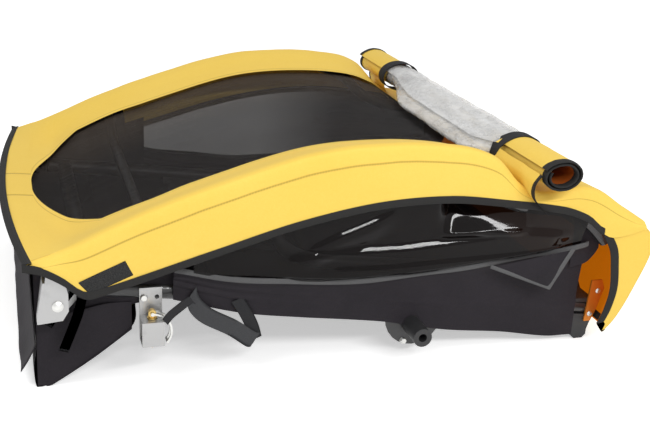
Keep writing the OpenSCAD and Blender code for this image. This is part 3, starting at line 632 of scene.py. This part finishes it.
def filmPoint(side):
    def place(u, v):
        x = mix(film["first"], film["last"], u)
        low = curve(window["seam"], x) + 1
        top = max(hemZ(x) + 10, low + 12)
        z = mix(low, top, v)
        outside = mix(film["frontOutside"], film["outside"], ease((x - film["first"]) / 90))
        out = mix(film["inside"], outside, ease(v))
        swell = (film["outside"] - film["inside"]) * 6 * v * (1 - v) / (top - low)
        for fold in filmFolds:
            first, last = fold["line"][0][0], fold["line"][-1][0]
            if first < x < last:
                below = curve(fold["line"], x) - z
                ends = ease((x - first) / 40) * ease((last - x) / 50)
                rise = 0.75 * fold["wide"] * (fold["lean"] + swell)
                lift = shoulder(below / fold["wide"] + 0.5) - shoulder((below - fold["wide"]) / fold["back"])
                out += rise * lift * ends * ease((z - low) / 9)
        if film["tuckFrom"] < x < film["tuckTo"]:
            lit = z - curve(film["tuck"], x)
            part = (ease((x - film["tuckFrom"]) / 28) * ease((film["tuckTo"] - x) / 32)
                    * ease((z - 190) / 13) * ease((top - z) / 18))
            out += part * (0.002 * lit ** 2 - (film["lean"] + swell) * (z - film["tuckZ"]))
        slack = math.sin(math.pi * v)
        out += slack * (0.16 * uneven(x, z, side, 90, 3) + 0.03 * uneven(x, z * 1.5, side, 26, 6))
        return (x, side * min(out, film["limit"]), z)
    return place


def wallPoint(side):
    def place(u, v):
        x = mix(window["wallFrom"], window["wallTo"], u)
        z = mix(curve(window["foot"], x), curve(window["seam"], x), v)
        front = 1 - ease(u / 0.5)
        fold = (4.5 * math.exp(-((v - 0.72 + 0.25 * u) / 0.07) ** 2) * front
                + 3.5 * math.exp(-((v - 0.5 + 0.5 * u) / 0.06) ** 2) * front)
        crease = 2.0 * math.exp(-((v - 0.42 + 0.2 * (u - 0.6)) / 0.05) ** 2) * ease((u - 0.4) / 0.3)
        return (x, side * (301.8 + 15 * v ** 4 + 2.5 * v * v * math.sin(math.radians(2.2 * x + 60))
                           + (fold + crease + 1.4 * uneven(x, z, side, 55)) * math.sin(math.pi * v)), z)
    return place


# strip that closes the side between the film's rear end and the rear panel
rearStrip = dict(first=338, last=383, inside=313.5, under=34)


def stripPoint(side):
    def place(u, v):
        x = mix(rearStrip["first"], rearStrip["last"], u)
        z = mix(curve(window["seam"], x) - rearStrip["under"], hemZ(x) - 1, v)
        return (x, side * (rearStrip["inside"] + 1.2 * uneven(x, z, side, 22)), z)
    return place


# loose corner of cloth below the film's rear end
looseFlap = dict(tip=(299, 331, 103), front=(200, 327, 143), top=(332, 333, 166))


def flapPoint(side):
    tip, front, top = (Vector(looseFlap[k]) * Vector((1, side, 1)) for k in ("tip", "front", "top"))

    def place(u, v):
        p = front.lerp(top, u).lerp(tip, v * 0.999)
        p.y += side * (3 * math.sin(math.pi * v) * math.sin(math.pi * u) + 1.2 * uneven(*p, 30))
        return p
    return place


for side, word in sides:
    filmPiece = laid("sideFilm" + word, 170, 70, filmPoint(side), "smoked")
    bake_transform(filmPiece)
    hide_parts("side_window_" + word.lower())
    wall = laid("sideWall" + word, 110, 40, wallPoint(side), "black")
    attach(wall, "base")
    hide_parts("side_wall_" + word.lower())
    seam = bound("filmBinding" + word, 110, lambda u: (
        Vector(wallPoint(side)(u, 1.0)) - Vector((0, 0, 3)), (0, side, 0), (0, 0, 1)), 7, "greyTape", 1.2)
    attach(seam, "base")
    strip = laid("rearStrip" + word, 16, 24, stripPoint(side), "black")
    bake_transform(strip)
    flapAt = flapPoint(side)
    loose = laid("looseFlap" + word, 24, 20, flapAt, "black")
    hemLow = bound("looseHem" + word, 30,
                   lambda u: (flapAt(0, u), (0, side, 0), (0.35, 0, 0.94)), 5, "greyTape")
    hemRear = bound("looseEdge" + word, 30,
                    lambda u: (flapAt(1, u), (0, side, 0), (-0.94, 0, 0.35)), 7, "greyTape")
    for piece in (loose, hemLow, hemRear):
        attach(piece, "base")

# curtain behind the gusset, from the footwell's side up to the cover
curtain = dict(low=[(-447, 100), (-414, 102), (-388, 106), (-352, 112), (-318, 112), (-262, 120),
                    (-226, 126)], inside=294)


def curtainPoint(side):
    def place(u, v):
        p = path([(k[0], 0, k[1]) for k in curtain["low"]], u * 6)
        top = topZ(p.x, curtain["inside"]) - 9 if p.x < window["wallFrom"] else hemZ(p.x) + 34
        z = mix(p.z, top, v)
        return (p.x, side * (curtain["inside"] + 2.5 * uneven(p.x, z, side, 35) - 1.5), z)
    return place


for side, word in sides:
    hung = laid("frontCurtain" + word, 50, 24, curtainPoint(side), "black")
    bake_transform(hung)

back = dict(
    line=[(439, 203), (464, 178), (461, 145), (443, 100), (420, 54), (402, 32)],
    inner=[(369, 193), (385, 166), (391, 136), (394, 100), (388, 68), (379, 46)],
    half=344, corner=318, bulge=4, tape=12)
backEnd = len(back["line"]) - 1


# point of the rear panel: s runs down the back line, h from 0 in the middle to 1 at the return's inner edge
def backPoint(s, h, grow=0.0):
    side = 1 if h >= 0 else -1
    h = abs(h)
    b = path([(k[0], 0, k[1]) for k in back["line"]], s)
    r = path([(k[0], 0, k[1]) for k in back["inner"]], s)
    if h < 0.55:
        y = back["corner"] * h / 0.55
        p = Vector((b.x + back["bulge"] * (1 - (y / back["corner"]) ** 2) + grow, y, b.z))
    elif h < 0.72:
        a = (h - 0.55) / 0.17 * math.pi / 2
        rad = back["half"] - back["corner"]
        p = Vector((b.x - rad * (1 - math.cos(a)) * 0.5 + grow * math.cos(a),
                    back["corner"] + (rad + grow) * math.sin(a), b.z))
    else:
        t = (h - 0.72) / 0.28
        start = b.x - (back["half"] - back["corner"]) * 0.5
        p = Vector((mix(start, r.x, t), back["half"] + grow, mix(b.z, r.z, t)))
    p.y *= side
    return p


def backCloth(grow):
    def place(u, v):
        p = backPoint(u * backEnd, 2 * v - 1, grow)
        p.x += 2.2 * uneven(*p, 80, 2) * math.sin(math.pi * u)
        return p
    return place


backPiece = laid("rearPanel", 44, 110, backCloth(0.0), "yellow")
# the orange inner sheet is painted light: its colour and glow stand in for light shining through the yellow
# rear panel
backThroughLightSheet = laid("rearThroughLightSheet", 44, 110, backCloth(-1.6), "orange")
backTapes = [bound("rearBinding" + word, 60, lambda u: (
    backPoint(u * backEnd, side, 0), (0, side, 0), (1, 0, 0.2)), back["tape"]) for side, word in sides]
backHem = bound("rearHem", 90, lambda u: (
    backPoint(backEnd, mix(-0.98, 0.98, u), 0), (1, 0, -0.3), (0.4, 0, 1)), back["tape"])
for piece in [backPiece, backThroughLightSheet, backHem] + backTapes:
    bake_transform(piece)
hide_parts("rear_panel")

tub = dict(
    front=[(-451, 168), (-449, 120), (-447, 62), (-452, 30), (-449, 1), (-437, 1.5), (-428, 1.6), (-370, 40),
           (-318, 81), (-313, 114)],
    low=[(-447, 1.4), (-437, 1.2), (-428, 1.2), (-372, 36), (-318, 76)],
    high=[(-446, 106), (-414, 106), (-388, 110), (-352, 117), (-318, 117)],
    lip=[(-448, 62), (-458, 42), (-469, 25)], half=296, overlap=1.5, floor=0.6)


def tubFront(u, v):
    half = tub["half"] + tub["overlap"]
    y = mix(-half, half, v)
    p = path([(k[0], 0, k[1]) for k in tub["front"]], u * (len(tub["front"]) - 1))
    ruck = 2.2 * uneven(p.x, y, p.z, 60) * math.sin(math.pi * u)
    return (p.x + ruck * 0.6, y, max(p.z + ruck * 0.5, tub["floor"]))


def tubSide(side):
    def place(u, v):
        a = path([(k[0], 0, k[1]) for k in tub["low"]], u * 4)
        b = path([(k[0], 0, k[1]) for k in tub["high"]], u * 4)
        p = a.lerp(b, v)
        ruck = 1.5 * (1 + uneven(p.x, side, p.z, 40)) * math.sin(math.pi * v)
        return (p.x, side * (tub["half"] + 0.2 - ruck), max(p.z, tub["floor"]))
    return place


def tubLip(u, v):
    y = mix(-tub["half"], tub["half"], v)
    p = path([(k[0], 0, k[1]) for k in tub["lip"]], u * 2)
    return (p.x + 1.5 * u * uneven(0, y, 0, 60), y, p.z + 3 * u * uneven(0, y, 0, 90, 4))


# front cloth between the tub and the front edge of the cover
def frontCloth(u, v):
    y = mix(-tub["half"], tub["half"], v)
    top = topZ(-455, y) - 3
    return (-451 - 4 * u + 1.5 * uneven(0, y, u * 40, 50), y, mix(162, top, u))


frontPiece = laid("frontCloth", 12, 70, frontCloth, "black")
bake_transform(frontPiece)

tubPieces = [laid("footwellFront", 60, 60, tubFront, "black"),
             laid("footwellLip", 10, 60, tubLip, "black", thick=1.4)]
tubPieces += [laid("footwellSide" + word, 30, 16, tubSide(side), "black") for side, word in sides]
for piece in tubPieces:
    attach(piece, "base")
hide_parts("footwell_tub")

rail = dict(front=(-400, 142), rear=(388, 50))


def railZ(x):
    (ax, az), (bx, bz) = rail["front"], rail["rear"]
    return mix(az, bz, (x - ax) / (bx - ax))


def floorPoint(u, v):
    x, y = mix(-330, 356, u), mix(-277, 277, v)
    drop = 10 + 2 * (1 - (2 * v - 1) ** 2) + 12 * ease((-308 - x) / 22)
    return (x, y, railZ(x) - drop + 1.2 * uneven(x, y, 0, 70))


floorPiece = laid("floorSheet", 60, 50, floorPoint, "black")
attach(floorPiece, "base")
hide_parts("floor_sheet")

cushion = dict(x0=-196, x1=240, half=262, thick=18, lift=-8.6, quilt=4)
pad = dict(x0=-425, x1=-50, half=205, thick=16, tilt=6.6, pivot=(378, 84), quilt=3)


# stuffed piece: a rounded block with drawn-in seams, put in place by pose(x, y, z)
def stuffed(name, p, pose):
    bm = bmesh.new()
    bmesh.ops.create_cube(bm, size=1.0)
    bmesh.ops.subdivide_edges(bm, edges=bm.edges[:], cuts=40, use_grid_fill=True)
    for v in bm.verts:
        u, w = v.co.x * 2, v.co.y * 2
        full = math.sqrt(max(0, 1 - u ** 6) * max(0, 1 - w ** 6))
        seam = abs(math.sin(math.pi * p["quilt"] * (w + 1) / 2)) ** 0.35
        lift = p["thick"] * (0.45 + 0.55 * full * (0.6 + 0.4 * seam)) if v.co.z > 0 else 0.0
        edge = 1 - 0.02 * (1 - u * u) * w ** 4
        x = mix(p["x0"], p["x1"], (u * (1 - 0.02 * (1 - w * w) * u ** 4) + 1) / 2)
        y = p["half"] * w * edge
        level = (v.co.z + 0.5) * lift if v.co.z > 0 else (v.co.z + 0.5) * p["thick"] * 0.45
        v.co = Vector(pose(x, y, level + 0.7 * uneven(x, y, 0, 50) * full * (v.co.z > 0))) * mm
    return meshObject(name, bm, "seat")


def hoopPose(x, y, z):
    a = math.radians(pad["tilt"])
    px, pz = pad["pivot"]
    return (px + x * math.cos(a) + z * math.sin(a), y, pz - x * math.sin(a) + z * math.cos(a))


seatPiece = stuffed("seatCushion", cushion, lambda x, y, z: (x, y, railZ(x) + cushion["lift"] + z))
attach(seatPiece, "base")
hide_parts("seat_cushion")
padPiece = stuffed("seatBack", pad, lambda x, y, z: hoopPose(x, y, z - pad["thick"] / 2))
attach(padPiece, "rear_hoop")
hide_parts("seat_back")

belts = []
for seat in (-130, 130):
    for s in (-45, 45):
        at = [hoopPose(x, seat + s, -pad["thick"] / 2 - 1.2 + 0.3 * math.sin(x / 17))
              for x in range(-395, -134, 26)]
        belts.append(strap("harness%d_%d" % (seat + 200, s + 50), at, (0, 1, 0), 25, "greyWeb"))
        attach(belts[-1], "rear_hoop")
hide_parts("harness")

buckle = dict(x=-150, y=130, lift=9.4, behind=23, tilt=6.66)


def onSeat(x, y, z):
    a = math.radians(buckle["tilt"])
    top = railZ(buckle["x"]) + buckle["lift"]
    return (buckle["x"] + x * math.cos(a) + z * math.sin(a), y, top - x * math.sin(a) + z * math.cos(a))


crotch = []
for side, word in sides:
    keys = [onSeat(buckle["behind"] + 0.4 + k * 10, side * buckle["y"], 4.8 + 0.3 * math.sin(k))
            for k in range(8)]
    crotch.append(strap("crotchStrap" + word, keys, (0, 1, 0), 25, "greyWeb"))
    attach(crotch[-1], "base")
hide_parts("crotch_straps")

loops = []
for side, word in sides:
    frontRun = [(-237, side * 307, 128), (-233, side * 308, 112), (-216, side * 309, 94),
                (-180, side * 309.5, 73), (-154, side * 309, 53), (-146, side * 307, 50)]
    rearRun = [(-172, side * 305, 113), (-160, side * 305.6, 92), (-150, side * 306, 70),
               (-145, side * 306.4, 52)]
    loops.append(strap("wheelStrap" + word, frontRun, (0.55, 0, 0.83), 24, "greyWeb"))
    loops.append(strap("strapReturn" + word, rearRun, (0.9, 0, 0.35), 18, "web"))
    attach(loops[-2], "base")
    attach(loops[-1], "base")
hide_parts("wheel_straps")

lanyardRun = [(-277, -331, 100), (-270, -331.2, 109), (-258, -331.6, 119), (-244, -331, 129),
              (-239, -330.4, 127)]
lanyard = strap("pinLanyard", lanyardRun, (-0.62, 0, 0.78), 11, "web")
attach(lanyard, "base")
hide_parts("pin_lanyard")

# dark strips that cross the gusset, and stay on the footwell's side
for side, word in sides:
    for name, keys, across, wide in (
            ("gussetStrip", [(-399, 152), (-408, 141), (-420, 122), (-432, 102)], (0.83, 0, -0.55), 15),
            ("gussetTail", [(-386, 136), (-391, 116), (-400, 92), (-412, 62)], (0.95, 0, -0.3), 13)):
        strip = strap(name + word, [(x, side * 317, z) for x, z in keys], across, wide, "web")
        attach(strip, "base")

patches = []
for side, word in sides:
    corner = [(-391, 172), (-331, 198), (-377, 155), (-321, 178)]

    def patchPoint(u, v):
        top = Vector(corner[0]).lerp(Vector(corner[1]), u)
        low = Vector(corner[2]).lerp(Vector(corner[3]), u)
        p = low.lerp(top, v)
        return (p.x, side * (cover["half"] + 0.6 + 0.5 * uneven(p.x, side, p.y, 20)), p.y)
    patches.append(laid("hookPatch" + word, 30, 12, patchPoint, "pile", thick=1.2))
    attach(patches[-1], "upper_frame")
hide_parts("hook_patches")

arches = ["arch_tube_left", "arch_tube_right"]
held = dict(
    coverTop=("stretched", arches, ["flapBindingLeft", "flapBindingRight", "frontBinding"]),
    meshWindow=("stretched", ["coverTop"], []),
    clearRoll=("folded", ["coverTop"], []),
    rearPanel=("hung", ["coverTop"], ["rearThroughLightSheet", "rearHem", "rearBindingLeft", "rearBindingRight"]),
    footwellFront=("hung", ["front_gusset_left", "front_gusset_right"], []),
    footwellLip=("hung", ["footwellFront"], []),
    frontCloth=("hung", ["coverTop"], []),
    floorSheet=("stretched", ["base_rail_left", "base_rail_right"], []),
    pinLanyard=("hung", ["base_rail_left"], []))
for side, word in sides:
    railNode = "base_rail_" + word.lower()
    held["rollHem" + word] = ("folded", ["clearRoll"], ["hemPaintedThroughLight" + word, "hemBinding" + word])
    held["rollTail" + word] = ("draped", ["coverTop"], ["tailBinding" + word])
    held["rollStrap" + word] = ("stretched", ["clearRoll"], [])
    held["sideFilm" + word] = ("hung", ["coverTop"], ["filmBinding" + word])
    held["sideWall" + word] = ("hung", [railNode], [])
    held["rearStrip" + word] = ("hung", ["coverTop"], [])
    held["looseFlap" + word] = ("hung", ["sideWall" + word], ["looseHem" + word, "looseEdge" + word])
    held["frontCurtain" + word] = ("hung", ["coverTop"], [])
    held["footwellSide" + word] = ("hung", [railNode], [])
    held["wheelStrap" + word] = ("hung", [railNode], [])
    held["strapReturn" + word] = ("hung", [railNode], [])
    held["crotchStrap" + word] = ("laid", ["seatCushion"], [])
    held["hookPatch" + word] = ("laid", ["coverTop"], [])
    held["gussetStrip" + word] = ("hung", [railNode], [])
    held["gussetTail" + word] = ("hung", [railNode], [])
for belt in belts:
    held[belt.name] = ("stretched", ["seatBack"], [])
for name, (how, rests, parts) in held.items():
    cloth(bpy.data.objects[name])

print("frame finishes")
slotFinish = dict(black_paint="paint", bare_aluminium="aluminium", zinc_steel="zinc", brass_pin="brass",
                  black_plastic="plastic", red_plastic="red", webbing="web", hook_pile="pile",
                  black_cloth="black", seat_cloth="seat", yellow_cloth="yellow", window_mesh="mesh",
                  smoked_vinyl="smoked", clear_vinyl="clear")
for entry in frame["record"]["subparts"]:
    skin = nodes[entry["node"]].data.materials
    skin.clear()
    # the rear plates get the painted yellow reflection finish instead of their own slot's finish
    skin.append(finishes["amber" if entry["node"] == "rear_plates" else slotFinish[entry["material_slot"]]])

print("stage and light")
studio = dict(floorSize=9.0, world=0.56, key=(0.5, -2.2, 1.7), keySize=(2.0, 0.12), keyPower=35,
              fill=(-1.5, -0.9, 2.3), fillSize=(1.3, 1.3), fillPower=18, aim=(0, 0, 0.15), floorWhite=0.5)
bm = bmesh.new()
bmesh.ops.create_grid(bm, x_segments=1, y_segments=1, size=studio["floorSize"])
stageFloor = meshObject("stageFloor", bm, "plastic", smooth=False)
pale = Finish("paleFloor")
grain = pale.cloud(40.0)
pale.set(Base_Color=pale.tint(grain, (0.90, 0.90, 0.90), (0.94, 0.94, 0.94)), Roughness=0.9,
         Specular_IOR_Level=0.0)
seen = pale.make("ShaderNodeLightPath", out="Is Camera Ray")
for kind in ("Is Glossy Ray", "Is Transmission Ray"):
    seen = seen.math("MAXIMUM", pale.make("ShaderNodeLightPath", out=kind))
pale.set(Emission_Color=seen * 1.0, Emission_Strength=studio["floorWhite"])
stageFloor.data.materials.clear()
stageFloor.data.materials.append(pale.material)

world = bpy.data.worlds.new("studioWorld")
scene.world = world
world.use_nodes = True
worldTree = world.node_tree
light = worldTree.nodes["Background"]
light.inputs["Color"].default_value = (1, 1, 1, 1)
rays = worldTree.nodes.new("ShaderNodeLightPath")
seen = Shade(worldTree, rays.outputs["Is Camera Ray"])
for kind in ("Is Glossy Ray", "Is Transmission Ray"):
    seen = seen.math("MAXIMUM", Shade(worldTree, rays.outputs[kind]))
strength = seen * (1.0 - studio["world"]) + studio["world"]
worldTree.links.new(strength.socket, light.inputs["Strength"])


def areaLamp(name, spot, size, power):
    data = bpy.data.lights.new(name, "AREA")
    data.shape = "RECTANGLE"
    data.size, data.size_y = size
    data.energy = power
    lamp = bpy.data.objects.new(name, data)
    lamp.location = spot
    lamp.rotation_euler = (Vector(studio["aim"]) - Vector(spot)).to_track_quat("-Z", "Y").to_euler()
    scene.collection.objects.link(lamp)


areaLamp("keyLamp", studio["key"], studio["keySize"], studio["keyPower"])
areaLamp("fillLamp", studio["fill"], studio["fillSize"], studio["fillPower"])
scene.view_settings.view_transform = "Standard"
